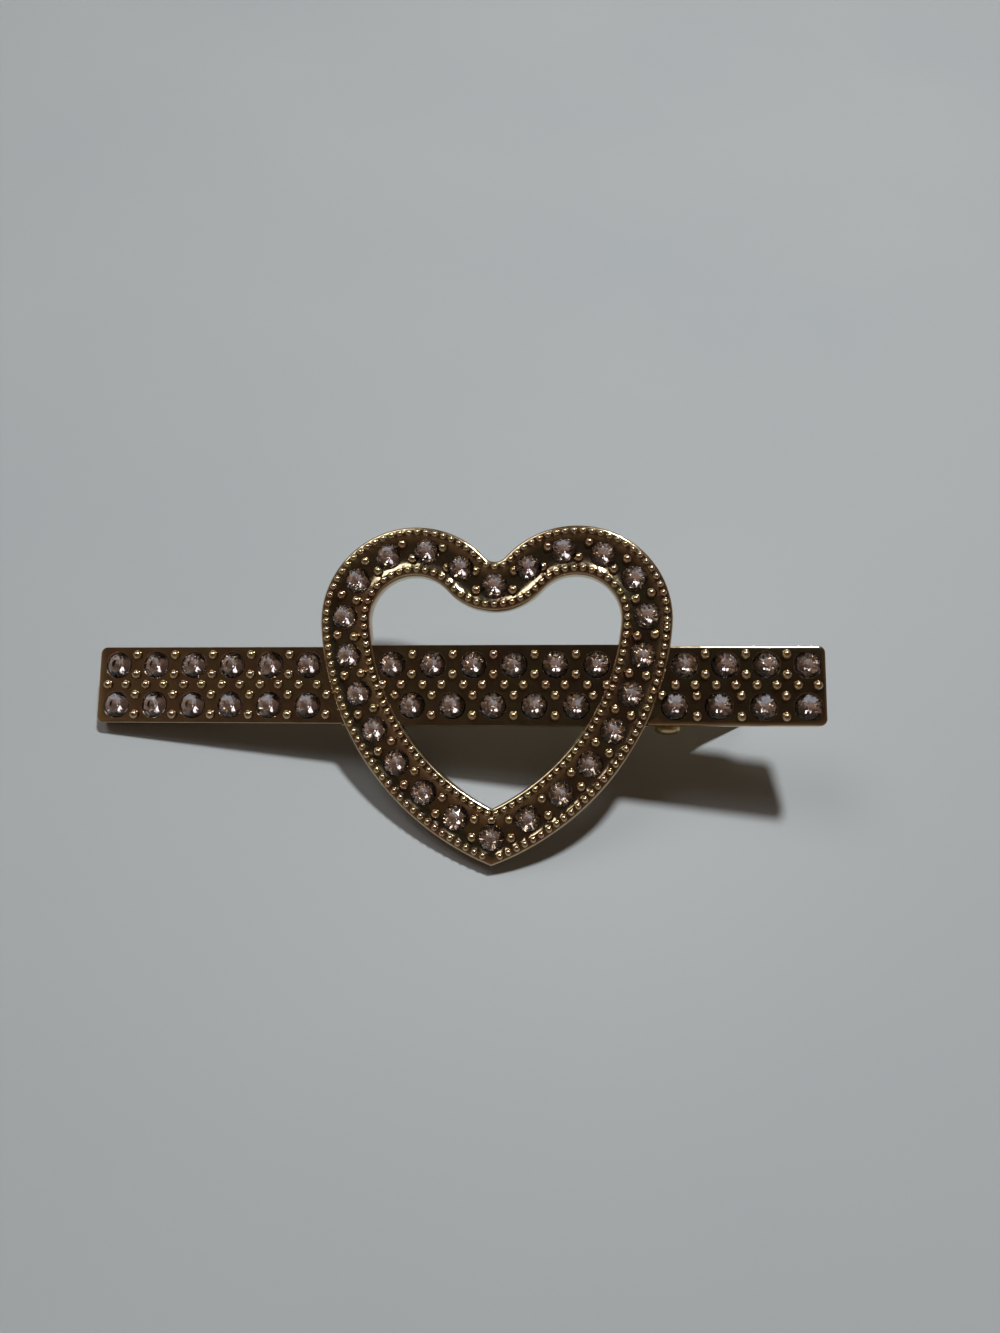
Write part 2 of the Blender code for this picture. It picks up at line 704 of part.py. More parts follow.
def make_pin():
    """The hinge pin, with a domed head at each end."""
    shaft = UPPER_BLADE_WIDTH / 2 + SOLDER_GAP
    dome = [
        (PIN_HEAD_RADIUS * math.cos(turn), PIN_HEAD_RIM + (PIN_HEAD_HEIGHT - PIN_HEAD_RIM) * math.sin(turn))
        for turn in [math.pi / 2 * step / 4 for step in range(5)]
    ]
    top = [(radius, shaft + height) for radius, height in reversed(dome)]
    top[0] = (0.0, top[0][1])
    top += [(PIN_HEAD_RADIUS, shaft), (PIN_RADIUS, shaft)]
    bottom = [(radius, -height) for radius, height in reversed(top)]
    pin = turned("hinge_pin", top + bottom, 16, PARTS, BLADE_GOLD)
    pin.location = (PIVOT_X, 0.0, PIVOT_Z)
    pin.rotation_euler.x = math.pi / 2
    return pin


def coil_sweep(start):
    """The coil's turn from its upper leg to its lowest point, with the turns that fit between the ears."""
    room = LOWER_BLADE_HALF - EAR_THICKNESS - COIL_SIDE_CLEARANCE - WIRE_RADIUS
    part_turn = 1.5 * math.pi - start
    return part_turn + 2 * math.pi * math.floor(2 * room / COIL_PITCH - part_turn / (2 * math.pi))


def spring_points():
    """The spring's wire: a leg along the upper blade, the coil, and a leg along the lever."""
    upper = Vector((UPPER_LEG_REACH, UPPER_BLADE_BOTTOM - WIRE_RADIUS - LEG_CLEARANCE - PIVOT_Z))
    lever_start = Vector((LOWER_WEB_HALF, web_bottom() - PIVOT_Z))
    foot_start = LEVER_END_X - FOOT_LENGTH
    lever_end = Vector((foot_start - PIVOT_X, foot_line(foot_start) - PIVOT_Z))
    lever_run = (lever_end - lever_start).normalized()
    lever_up = Vector((-lever_run.y, lever_run.x))
    lower = lever_start.lerp(lever_end, LOWER_LEG_SHARE)
    lower += lever_up * (BLADE_THICKNESS + WIRE_RADIUS + LEG_CLEARANCE)
    start = math.pi / 2 + math.atan2(upper.y, upper.x) - math.asin(COIL_RADIUS / upper.length)
    sweep = coil_sweep(start)
    knee = lower - lever_run * ((lower.y + COIL_RADIUS) / lever_run.y)
    half_width = COIL_PITCH * sweep / (4 * math.pi)
    steps = math.ceil(COIL_POINTS * sweep / (2 * math.pi))
    points = [Vector((PIVOT_X + upper.x, half_width, PIVOT_Z + upper.y))]
    for step in range(steps + 1):
        turn = start + sweep * step / steps
        y = half_width * (1 - 2 * step / steps)
        around = COIL_RADIUS * Vector((math.cos(turn), math.sin(turn)))
        points.append(Vector((PIVOT_X + around.x, y, PIVOT_Z + around.y)))
    points += [Vector((PIVOT_X + spot.x, -half_width, PIVOT_Z + spot.y)) for spot in (knee, lower)]
    return points


def least_gap(points):
    """The least distance between turns of the wire's surface, measured at its points."""
    far = COIL_POINTS // 2
    pairs = [(a - b).length for i, a in enumerate(points) for b in points[i + far:]]
    return min(pairs) - 2 * WIRE_RADIUS


def make_spring():
    points = spring_points()
    print(f"least gap between turns of the spring: {least_gap(points) / MM:.2f} mm")
    return tube("torsion_spring", points, WIRE_RADIUS, 1, PARTS, material=SPRING_STEEL)


def resting_turn(corners):
    """The turn that lays the clip on the face of its hull that runs out to the heart's tip."""
    hull = bmesh.new()
    for corner in corners:
        hull.verts.new(corner)
    bmesh.ops.convex_hull(hull, input=hull.verts)
    bmesh.ops.recalc_face_normals(hull, faces=hull.faces)
    under = [face for face in hull.faces if face.normal.y < 0.0 and face.normal.z < 0.0]
    up = -max(under, key=lambda face: -face.normal.z * face.calc_area()).normal
    hull.free()
    along = Vector((1.0, 0.0, 0.0))
    along = (along - up * along.dot(up)).normalized()
    return Matrix((along, up.cross(along), up))


def stand_on_origin(parts):
    """Tilts the plate as it rests, then puts the origin below the middle of the whole clip."""
    bpy.context.view_layer.update()
    graph = bpy.context.evaluated_depsgraph_get()
    corners = []
    for part in parts:
        shape = part.evaluated_get(graph).to_mesh()
        corners += [part.matrix_world @ vertex.co for vertex in shape.vertices]
    turn = resting_turn(corners)
    corners = [turn @ corner for corner in corners]
    low = [min(corner[axis] for corner in corners) for axis in range(3)]
    high = [max(corner[axis] for corner in corners) for axis in range(3)]
    place_at = Vector((-(low[0] + high[0]) / 2, -(low[1] + high[1]) / 2, -low[2]))
    PLATE.matrix_world = Matrix.Translation(place_at) @ turn.to_4x4()
    bpy.context.view_layer.update()


def shade(parts):
    for part in parts:
        if part.data.name != "crystal":
            part.data.shade_smooth()
            part.data.set_sharp_from_angle(angle=math.radians(35))


make_casting()
make_stones()
make_upper_blade()
make_lower_blade()
make_pin()
make_spring()
PIECES = [thing for thing in PARTS.objects if thing.type == "MESH"]
stand_on_origin(PIECES)
shade(PIECES)
PIVOT = PLATE.matrix_world @ Vector((PIVOT_X, 0.0, PIVOT_Z))
PIVOT_AXIS = PLATE.matrix_world.to_3x3() @ Vector((0.0, -1.0, 0.0))
print(f"pivot at {tuple(round(v, 6) for v in PIVOT)}, axis {tuple(round(v, 6) for v in PIVOT_AXIS)}")
print(f"plate frame at {tuple(round(v, 6) for v in PLATE.matrix_world.translation)}")
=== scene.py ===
"""Heart hair clip: a gold-plated casting set with crystals, on a sprung two-blade clip.

Every piece is drawn in the plate frame, in millimetres: the origin is at the centre of the bar's
back, +X runs along the bar to the hinge, +Y to the heart's lobes and +Z out of the front.
"""

import json
import math

import bmesh
import bpy
from mathutils import Matrix, Vector


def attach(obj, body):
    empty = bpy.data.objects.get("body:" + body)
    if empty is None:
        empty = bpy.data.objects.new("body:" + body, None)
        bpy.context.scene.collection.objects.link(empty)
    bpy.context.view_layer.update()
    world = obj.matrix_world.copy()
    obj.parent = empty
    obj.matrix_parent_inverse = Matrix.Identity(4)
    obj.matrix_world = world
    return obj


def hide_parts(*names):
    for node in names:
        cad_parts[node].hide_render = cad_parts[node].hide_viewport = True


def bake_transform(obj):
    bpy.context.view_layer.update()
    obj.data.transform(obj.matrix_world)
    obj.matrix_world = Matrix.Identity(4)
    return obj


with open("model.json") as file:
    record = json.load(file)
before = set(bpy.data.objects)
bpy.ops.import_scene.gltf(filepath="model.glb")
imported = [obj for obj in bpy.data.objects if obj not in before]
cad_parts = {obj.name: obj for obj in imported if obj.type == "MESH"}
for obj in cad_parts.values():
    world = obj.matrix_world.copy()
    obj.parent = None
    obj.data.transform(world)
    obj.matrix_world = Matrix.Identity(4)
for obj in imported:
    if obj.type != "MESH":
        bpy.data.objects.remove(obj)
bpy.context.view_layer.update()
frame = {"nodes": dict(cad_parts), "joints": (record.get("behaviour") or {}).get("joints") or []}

# The clip as it lies: leaning on its blade's tip, its lever's foot and the heart's tip. The plate
# frame is found from the hinge pin, whose axis runs across the bar at a known spot behind it.
MM = 0.001
PIN_SPOT = (22.3, 0.0, -3.3)

hinge = frame["joints"][0]
across_bar = -Vector(hinge["axis"]).normalized()
along_bar = Vector((1.0, 0.0, -across_bar.x / across_bar.z)).normalized()
turn_of_plate = Matrix((along_bar, across_bar, along_bar.cross(across_bar))).transposed()
plate = turn_of_plate.to_4x4()
plate.translation = Vector(hinge["pos_m"]) - turn_of_plate @ Vector(PIN_SPOT) * MM
from_plate = plate @ Matrix.Scale(MM, 4)

# The camera stands where the photograph was taken from, a little below and right of the clip, and
# looks nearly square at the plate. Its spots are in the plate frame.
CAMERA_SPOT = (13.526, -11.168, 97.244)
LOOKS_AT = (5.06, 1.913, 1.5)
IMAGE_UP = (-0.0116, 0.9999, 0.0)
LENS = 25.66
SENSOR_WIDTH = 36.0
NEAREST_SEEN = 0.001

backwards = (Vector(CAMERA_SPOT) - Vector(LOOKS_AT)).normalized()
rightwards = Vector(IMAGE_UP).cross(backwards).normalized()
camera_turn = Matrix((rightwards, backwards.cross(rightwards), backwards)).transposed()
camera = bpy.data.objects.new("camera", bpy.data.cameras.new("camera"))
bpy.context.scene.collection.objects.link(camera)
camera.data.sensor_width = SENSOR_WIDTH
camera.data.lens = LENS
camera.data.clip_start = NEAREST_SEEN
camera_place = Matrix.Translation(from_plate @ Vector(CAMERA_SPOT))
camera.matrix_world = camera_place @ (turn_of_plate @ camera_turn).to_4x4()
bpy.context.scene.camera = camera
bpy.context.scene.view_settings.view_transform = "Standard"

# One small soft lamp stands high behind the lobes, a little to the right. It throws the shadow of
# the bar and lever towards the heart's tip, and its image is the bright dot on every bead.
LAMP_SLOPE = (0.16, 0.395, 1.0)
LAMP_DISTANCE = 0.62
LAMP_WIDTH = 0.07
LAMP_POWER = 3.15
LAMP_COLOR = (1.0, 0.985, 0.95)

lamp = bpy.data.objects.new("window_lamp", bpy.data.lights.new("window_lamp", "AREA"))
bpy.context.scene.collection.objects.link(lamp)
lamp.data.shape = "DISK"
lamp.data.size = LAMP_WIDTH
lamp.data.energy = LAMP_POWER
lamp.data.color = LAMP_COLOR
lamp.location = Vector(LAMP_SLOPE).normalized() * LAMP_DISTANCE
lamp.rotation_euler = lamp.location.to_track_quat("Z", "Y").to_euler()

# The room: a pale band round the horizon, a dim warm ceiling, which is what the metal mirrors, and
# a small pale window high on the left, which fills the lower halves of the crystals.
TOWARDS_WINDOW = (-0.5, 0.33, 0.8)
WINDOW_EDGE = (0.96, 0.985)
NO_LIGHT = (0.0, 0.0, 0.0, 1.0)
WINDOW_LIGHT = (3.2, 3.1, 3.0, 1.0)
ROOM_BANDS = (
    (0.0, (0.27, 0.185, 0.14, 1.0)),
    (0.2, (0.245, 0.165, 0.115, 1.0)),
    (0.42, (0.14, 0.097, 0.067, 1.0)),
    (0.76, (0.085, 0.054, 0.036, 1.0)),
    (0.96, (0.012, 0.009, 0.006, 1.0)),
)

room = bpy.data.worlds.new("room")
bpy.context.scene.world = room
room.use_nodes = True
nodes = room.node_tree.nodes
links = room.node_tree.links
direction = nodes.new("ShaderNodeTexCoord")
height = nodes.new("ShaderNodeSeparateXYZ")
walls = nodes.new("ShaderNodeValToRGB")
links.new(direction.outputs["Generated"], height.inputs[0])
links.new(height.outputs["Z"], walls.inputs["Fac"])
for element, (position, color) in zip(walls.color_ramp.elements, (ROOM_BANDS[0], ROOM_BANDS[-1])):
    element.position = position
    element.color = color
for position, color in ROOM_BANDS[1:-1]:
    walls.color_ramp.elements.new(position).color = color
towards_window = nodes.new("ShaderNodeVectorMath")
towards_window.operation = "DOT_PRODUCT"
towards_window.inputs[1].default_value = TOWARDS_WINDOW
links.new(direction.outputs["Generated"], towards_window.inputs[0])
window = nodes.new("ShaderNodeValToRGB")
for element, position, color in zip(window.color_ramp.elements, WINDOW_EDGE, (NO_LIGHT, WINDOW_LIGHT)):
    element.position = position
    element.color = color
links.new(towards_window.outputs["Value"], window.inputs["Fac"])
walls_and_window = nodes.new("ShaderNodeVectorMath")
links.new(walls.outputs["Color"], walls_and_window.inputs[0])
links.new(window.outputs["Color"], walls_and_window.inputs[1])
links.new(walls_and_window.outputs[0], nodes["Background"].inputs["Color"])


def new_material(name):
    """A material, its shader and node tree, and functions that add a node or a ramp of two colours."""
    material = bpy.data.materials.new(name)
    material.use_nodes = True
    tree = material.node_tree

    def add(kind, links=(), **values):
        node = tree.nodes.new(f"ShaderNode{kind}")
        for socket, value in values.items():
            node.inputs[socket.replace("_", " ")].default_value = value
        for socket, source in links:
            tree.links.new(source, node.inputs[socket])
        return node

    def add_ramp(source, first, last):
        """A ramp over a source's values, from one place and colour to another; gives its colour."""
        ramp = add("ValToRGB", [("Fac", source)])
        for element, (position, color) in zip(ramp.color_ramp.elements, (first, last)):
            element.position = position
            element.color = (*color, 1.0)
        return ramp.outputs["Color"]

    return material, tree.nodes["Principled BSDF"], tree, add, add_ramp


# The table: a smooth sheet in a cool pale grey, very faintly mottled. The clip lies on it and
# throws its shadow there.
TABLE_SIZE = 3.0
TABLE_GREY = (0.352, 0.395, 0.431)
TABLE_PALER_GREY = (0.372, 0.41, 0.441)
TABLE_ROUGHNESS = 0.55
TABLE_SHEEN = 0.3

table_mesh = bmesh.new()
bmesh.ops.create_grid(table_mesh, x_segments=1, y_segments=1, size=TABLE_SIZE / 2)
table = bpy.data.objects.new("table", bpy.data.meshes.new("table"))
table_mesh.to_mesh(table.data)
table_mesh.free()
bpy.context.scene.collection.objects.link(table)
table_grey, surface, tree, add, add_ramp = new_material("table_grey")
mottle = add("TexNoise", Scale=60.0, Detail=3.0)
greys = add_ramp(mottle.outputs["Fac"], (0.3, TABLE_GREY), (0.7, TABLE_PALER_GREY))
tree.links.new(greys, surface.inputs["Base Color"])
surface.inputs["Roughness"].default_value = TABLE_ROUGHNESS
surface.inputs["Specular IOR Level"].default_value = TABLE_SHEEN
table.data.materials.append(table_grey)

# The casting: bar, open heart, beads, beaded rails and back posts are one zinc casting, plated
# pale gold. Its seats are cut into it afterwards, with a bright bevel round each.
BAR_LENGTH = 75.0
BAR_WIDTH = 8.0
BAR_WAIST_WIDTH = 8.35
BAR_FRONT = 1.5
BAR_CORNER = 0.7
HEART_X = 4.4
HEART_WIDTH = 36.4
LOBE_HEIGHT = 6.9
LOBE_TURN = math.radians(138.4)
SHOULDER_TURN = math.radians(-4.8)
SIDE_RADIUS = 28.5
CLEFT_RADIUS = 1.45
RING_WIDTH = 5.2
HEART_FRONT = 1.7
STONE_RADIUS = 1.29
ROW_OFFSET = 2.1
POST_X = (-4.5, 13.5)

LOBE_SHARE = -math.cos(LOBE_TURN)
LOBE_RADIUS = (HEART_WIDTH / 2 - LOBE_SHARE * CLEFT_RADIUS) / (1.0 + LOBE_SHARE)
LOBE_X = HEART_WIDTH / 2 - LOBE_RADIUS
SIDE_X = LOBE_X + (LOBE_RADIUS - SIDE_RADIUS) * math.cos(SHOULDER_TURN)
SIDE_Y = LOBE_HEIGHT + (LOBE_RADIUS - SIDE_RADIUS) * math.sin(SHOULDER_TURN)
CLEFT_Y = LOBE_HEIGHT + (LOBE_RADIUS + CLEFT_RADIUS) * math.sin(LOBE_TURN)


def heart_arcs(inset):
    """Half of the heart's outline from cleft to tip: centre, radius and both angles of each arc."""
    tip_turn = -math.acos(-SIDE_X / (SIDE_RADIUS - inset))
    return [
        ((0.0, CLEFT_Y), CLEFT_RADIUS + inset, -math.pi / 2, LOBE_TURN - math.pi),
        ((LOBE_X, LOBE_HEIGHT), LOBE_RADIUS - inset, LOBE_TURN, SHOULDER_TURN),
        ((SIDE_X, SIDE_Y), SIDE_RADIUS - inset, SHOULDER_TURN, tip_turn),
    ]


def heart_line(inset, steps=(8, 44, 40)):
    """The heart's closed outline, inset from its edge, clockwise from the cleft."""
    half = []
    for (center, radius, start, end), count in zip(heart_arcs(inset), steps):
        for step in range(count):
            turn = start + (end - start) * step / count
            half.append((center[0] + radius * math.cos(turn), center[1] + radius * math.sin(turn)))
    center, radius, _, end = heart_arcs(inset)[-1]
    half.append((0.0, center[1] + radius * math.sin(end)))
    return [(HEART_X + x, y) for x, y in half] + [(HEART_X - x, y) for x, y in reversed(half[1:-1])]


def along_heart(inset, share):
    """The spot at a share of the outline's length, clockwise from the cleft."""
    arcs = heart_arcs(inset)
    left = min(share, 1.0 - share) * 2 * sum(radius * abs(end - start) for _, radius, start, end in arcs)
    for center, radius, start, end in arcs:
        length = radius * abs(end - start)
        if left <= length:
            break
        left -= length
    turn = start + (end - start) * min(left / length, 1.0)
    side = 1.0 if share <= 0.5 else -1.0
    return HEART_X + side * (center[0] + radius * math.cos(turn)), center[1] + radius * math.sin(turn)


def bridge(shape, loops, closed):
    """Quads between each loop of corners and the next; closed joins the last loop to the first."""
    rows = [[shape.verts.new(corner) for corner in loop] for loop in loops]
    pairs = list(zip(rows, rows[1:] + rows[:1])) if closed else list(zip(rows, rows[1:]))
    for first, second in pairs:
        for index, corner in enumerate(first):
            after = (index + 1) % len(first)
            shape.faces.new((corner, first[after], second[after], second[index]))
    if not closed:
        shape.faces.new(reversed(rows[0]))
        shape.faces.new(rows[-1])
    bmesh.ops.recalc_face_normals(shape, faces=shape.faces)


def new_object(name, shape):
    """An object in the scene from a bmesh in the plate frame."""
    mesh = bpy.data.meshes.new(name)
    shape.to_mesh(mesh)
    shape.free()
    thing = bpy.data.objects.new(name, mesh)
    bpy.context.scene.collection.objects.link(thing)
    return thing


def cut_or_join(thing, others, operation):
    """Joins other solids to a piece, or cuts them from it, and leaves the result in its mesh."""
    for other in others:
        step = thing.modifiers.new(operation, "BOOLEAN")
        step.operation = operation
        step.object = other
        step.solver = "MANIFOLD"
    bpy.context.view_layer.update()
    mesh = bpy.data.meshes.new_from_object(thing.evaluated_get(bpy.context.evaluated_depsgraph_get()))
    thing.modifiers.clear()
    thing.data = mesh
    for other in others:
        bpy.data.objects.remove(other)


def rest_on(body, thing, material, sharp=35.0):
    """Lays a finished piece from the plate frame into the scene, and lets it ride on its body."""
    thing.data.transform(from_plate)
    thing.data.shade_smooth()
    thing.data.set_sharp_from_angle(angle=math.radians(sharp))
    thing.data.materials.clear()
    thing.data.materials.append(material)
    if body:
        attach(thing, body)


def ball(shape, spot, radius, around=16, rings=10):
    ring = bmesh.new()
    bmesh.ops.create_uvsphere(ring, u_segments=around, v_segments=rings, radius=radius)
    bmesh.ops.translate(ring, verts=ring.verts, vec=spot)
    copy = bpy.data.meshes.new("ball")
    ring.to_mesh(copy)
    ring.free()
    shape.from_mesh(copy)
    bpy.data.meshes.remove(copy)


def turned(profile, around=48):
    """A solid from a profile of radius and height, from top to bottom, turned about Z."""
    shape = bmesh.new()
    loops = []
    for radius, height in profile:
        turns = [2 * math.pi * step / around for step in range(around)]
        loops.append([(radius * math.cos(turn), radius * math.sin(turn), height) for turn in turns])
    bridge(shape, loops, False)
    return shape


def repeated(name, shape, spots):
    """One object with a copy of a shape at each spot."""
    mesh = bpy.data.meshes.new(name)
    shape.to_mesh(mesh)
    shape.free()
    whole = bmesh.new()
    for spot in spots:
        mesh.transform(Matrix.Translation(spot))
        whole.from_mesh(mesh)
        mesh.transform(Matrix.Translation(-Vector(spot)))
    return new_object(name, whole)


# the ring's cross-section, from its outer edge: a rounded lip, a land for the beaded rail, and a
# shallow channel that holds the stones
outer_lip = [(0.14, 0.05), (0.03, 0.1), (0.0, 0.22), (0.0, 1.36), (0.04, 1.5), (0.12, 1.6), (0.24, 1.65)]
half_section = outer_lip + [(0.92, 1.7), (1.3, 1.54), (2.0, 1.53)]
section = half_section + [(RING_WIDTH - inset, z) for inset, z in reversed(half_section)]
ring = bmesh.new()
bridge(ring, [[(x, y, z) for x, y in heart_line(inset)] for inset, z in section], True)
casting = new_object("gold_casting", ring)


CRISPER_SHARE = 0.7
CORNER_STEPS = 6


def bar_line(inset):
    """The bar's outline, inset from its edge, a little wider where it crosses the heart.

    The bevel is broad along the right arm alone, which is where the real edge catches the light.
    """
    end = BAR_LENGTH / 2 - inset
    radius = BAR_CORNER - inset
    half = BAR_WIDTH / 2 - inset
    crisper = CRISPER_SHARE * inset
    waist = BAR_WAIST_WIDTH / 2 - inset + crisper
    left = HEART_X - HEART_WIDTH / 2 + RING_WIDTH / 2
    right = HEART_X + HEART_WIDTH / 2 - RING_WIDTH / 2
    corner_x = end - radius
    corner_y = half - radius
    turns = [math.pi / 2 * step / CORNER_STEPS for step in range(CORNER_STEPS + 1)]
    upper_right = [(corner_x + radius * math.cos(t), corner_y + radius * math.sin(t)) for t in turns]
    upper = upper_right + [(right, half), (right, waist), (left, waist), (left, half + crisper)]
    upper += [(-x, y + crisper) for x, y in reversed(upper_right)]
    return upper + [(x, -y) for x, y in reversed(upper)]


bar = bmesh.new()
bar_edges = [(0.12, 0.0), (0.03, 0.04), (0.0, 0.12), (0.0, 1.36), (0.02, 1.42), (0.07, 1.455), (0.2, 1.5)]
bridge(bar, [[(x, y, z) for x, y in bar_line(inset)] for inset, z in bar_edges], False)

# the stones' spots: round the heart clockwise from the cleft, then the rows of the bar
HEART_STONES = 24
heart_spots = [along_heart(RING_WIDTH / 2, step / HEART_STONES) for step in range(HEART_STONES)]
left_columns = [-35.45 + 4.11 * step for step in range(6)]
rows = {
    "left_upper": (left_columns, ROW_OFFSET),
    "left_lower": (left_columns, -ROW_OFFSET),
    "waist_upper": ([HEART_X + 4.2 * (step - 2.5) for step in range(6)], ROW_OFFSET),
    "waist_lower": ([HEART_X + 4.2 * (step - 2.0) for step in range(5)], -ROW_OFFSET),
    "right_upper": ([35.7 - 4.0 * (3 - step) for step in range(4)], ROW_OFFSET),
    "right_lower": ([35.7 - 4.35 * (3 - step) for step in range(4)], -ROW_OFFSET),
}
stone_spots = {}
for number, (x, y) in enumerate(heart_spots, 1):
    stone_spots[f"crystal_heart_{number:02d}"] = (x, y, HEART_FRONT)
for row, (columns, y) in rows.items():
    for number, x in enumerate(columns, 1):
        stone_spots[f"crystal_{row}_{number}"] = (x, y, BAR_FRONT)

# cast beads: two in every gap round the heart, and on the bar beside and between the stones
BEAD_RADIUS = 0.48
BEAD_OFF_MIDDLE = 0.85
BEAD_SINK = 0.15
BEAD_LIFT = 0.06
BEAD_OFF_ROW = 1.03
BEAD_OFF_STONE = 0.97
TIP_BEAD_OFF_STONE = 1.72
SINGLE_BEADS = (
    (HEART_X - 10.1, -1.05),
    (HEART_X + 10.1, -1.05),
    (-12.9, -1.05),
    (-12.9, -3.1),
    (21.4, -1.05),
)

bead_spots = []
for step in range(HEART_STONES):
    for across in (-BEAD_OFF_MIDDLE, BEAD_OFF_MIDDLE):
        x, y = along_heart(RING_WIDTH / 2 + across, (step + 0.5) / HEART_STONES)
        bead_spots.append((x, y, HEART_FRONT - BEAD_SINK))
for row, (columns, y) in rows.items():
    for first, second in zip(columns, columns[1:]):
        middle = (first + second) / 2
        bead_spots += [(middle, y + across, BAR_FRONT) for across in (-BEAD_OFF_ROW, BEAD_OFF_ROW)]
    if row.endswith("upper"):
        sides = (-BEAD_OFF_STONE, BEAD_OFF_STONE)
        bead_spots += [(x + beside, 0.0, BAR_FRONT) for x in columns for beside in sides]
bead_spots += [(x, y, BAR_FRONT) for x, y in SINGLE_BEADS]
tip_x, tip_y = along_heart(RING_WIDTH / 2, 0.5)
bead_spots.append((tip_x, tip_y + TIP_BEAD_OFF_STONE, HEART_FRONT - BEAD_SINK))
beads = bmesh.new()
for x, y, z in bead_spots:
    ball(beads, (x, y, z + BEAD_LIFT), BEAD_RADIUS)

# the beaded rails along both edges of the heart
RAIL_INSET = 0.62
RAIL_RADIUS = 0.37
RAIL_PITCH = 0.93
RAIL_SINK = 0.07

rails = bmesh.new()
for inset in (RAIL_INSET, RING_WIDTH - RAIL_INSET):
    length = 2 * sum(radius * abs(end - start) for _, radius, start, end in heart_arcs(inset))
    count = round(length / RAIL_PITCH)
    for step in range(count):
        x, y = along_heart(inset, step / count)
        ball(rails, (x, y, HEART_FRONT - RAIL_SINK), RAIL_RADIUS, 14, 10)

# the posts behind the bar, peened over under the upper blade
post_profile = [(0.9, 0.3), (0.9, -0.8), (1.3, -0.82), (1.32, -0.95), (1.2, -1.1), (0.8, -1.2)]
post_profile += [(0.3, -1.22)]
posts = repeated("posts", turned(post_profile, 32), [(x, 0.0, 0.0) for x in POST_X])

# the countersunk seats: a bright-cut bevel, then a cone that follows the stone
seat_profile = [(1.43, 0.8), (1.43, 0.0), (1.31, -0.1), (0.04, -1.1)]
seats = repeated("seats", turned(seat_profile, 40), list(stone_spots.values()))
cast_on = [new_object("bar", bar), posts, new_object("rails", rails), new_object("beads", beads)]
cut_or_join(casting, cast_on, "UNION")
cut_or_join(casting, [seats], "DIFFERENCE")

# the plating: pale gold with redder and greener clouds, with painted shade darkening the crevices,
# brightest on the flats and a little duller on the tops of the beads
REDDISH_GOLD = (0.52, 0.37, 0.26)
OLIVE_GOLD = (0.6, 0.54, 0.34)
PAINTED_SHADE_BROWN = (0.2, 0.12, 0.07)
UNSHADED = (1.0, 1.0, 1.0)
PAINTED_SHADE_REACH = 0.0009
BEAD_TOPS = (1.66, 1.82)

plated_gold, surface, tree, add, add_ramp = new_material("plated_gold")
place = add("TexCoord")
clouds = add("TexNoise", [("Vector", place.outputs["Object"])], Scale=420.0, Detail=4.0, Roughness=0.55)
golds = add_ramp(clouds.outputs["Fac"], (0.32, REDDISH_GOLD), (0.68, OLIVE_GOLD))
# painted shade: ambient occlusion darkens the gold's colour to brown in the crevices, between the beads
# and round the stones
painted_shade_occlusion = add("AmbientOcclusion", Distance=PAINTED_SHADE_REACH)
painted_shade_occlusion.samples = 6
painted_crevice_shade = add_ramp(painted_shade_occlusion.outputs["AO"], (0.15, PAINTED_SHADE_BROWN), (0.85, UNSHADED))
gold_and_painted_shade = add("Mix")
gold_and_painted_shade.data_type = "RGBA"
gold_and_painted_shade.blend_type = "MULTIPLY"
gold_and_painted_shade.inputs[0].default_value = 1.0
tree.links.new(golds, gold_and_painted_shade.inputs[6])
tree.links.new(painted_crevice_shade, gold_and_painted_shade.inputs[7])
tree.links.new(gold_and_painted_shade.outputs[2], surface.inputs["Base Color"])
surface.inputs["Metallic"].default_value = 1.0
above_back = add("VectorMath", [("Vector", place.outputs["Object"])])
above_back.operation = "DOT_PRODUCT"
above_back.inputs[1].default_value = turn_of_plate.col[2]
back_level = turn_of_plate.col[2].dot(plate.translation)
polish = add("MapRange", [("Value", above_back.outputs["Value"])], To_Min=0.15, To_Max=0.2)
polish.inputs["From Min"].default_value = back_level + BEAD_TOPS[0] * MM
polish.inputs["From Max"].default_value = back_level + BEAD_TOPS[1] * MM
tree.links.new(polish.outputs["Result"], surface.inputs["Roughness"])
waves = add("TexNoise", [("Vector", place.outputs["Object"])], Scale=480.0, Detail=1.0)
swell = add("Bump", [("Height", waves.outputs["Fac"])], Strength=0.5, Distance=0.00013)
skin = add("TexNoise", [("Vector", place.outputs["Object"])], Scale=1600.0, Detail=2.0)
skin_links = [("Height", skin.outputs["Fac"]), ("Normal", swell.outputs["Normal"])]
relief = add("Bump", skin_links, Strength=0.35, Distance=0.00004)
tree.links.new(relief.outputs["Normal"], surface.inputs["Normal"])
rest_on("clip_front", casting, plated_gold)
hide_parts("ornament_casting")

# The crystals: 55 round brilliants of clear glass with a silvered back, one glued in each seat.
# Their cut is a table, crown facets, a thin girdle and a pavilion that mirrors the light back.
GLASS_TINTS = ((0.92, 0.88, 0.92), (0.95, 0.94, 0.96))
FOIL_TINTS = ((0.68, 0.62, 0.62), (0.97, 0.94, 0.96))
GLASS_IOR = 1.57
FOIL_ROUGHNESS = 0.06
APEX = -0.81
FOIL_TOP = -0.09
SETTING_TILT = 0.03

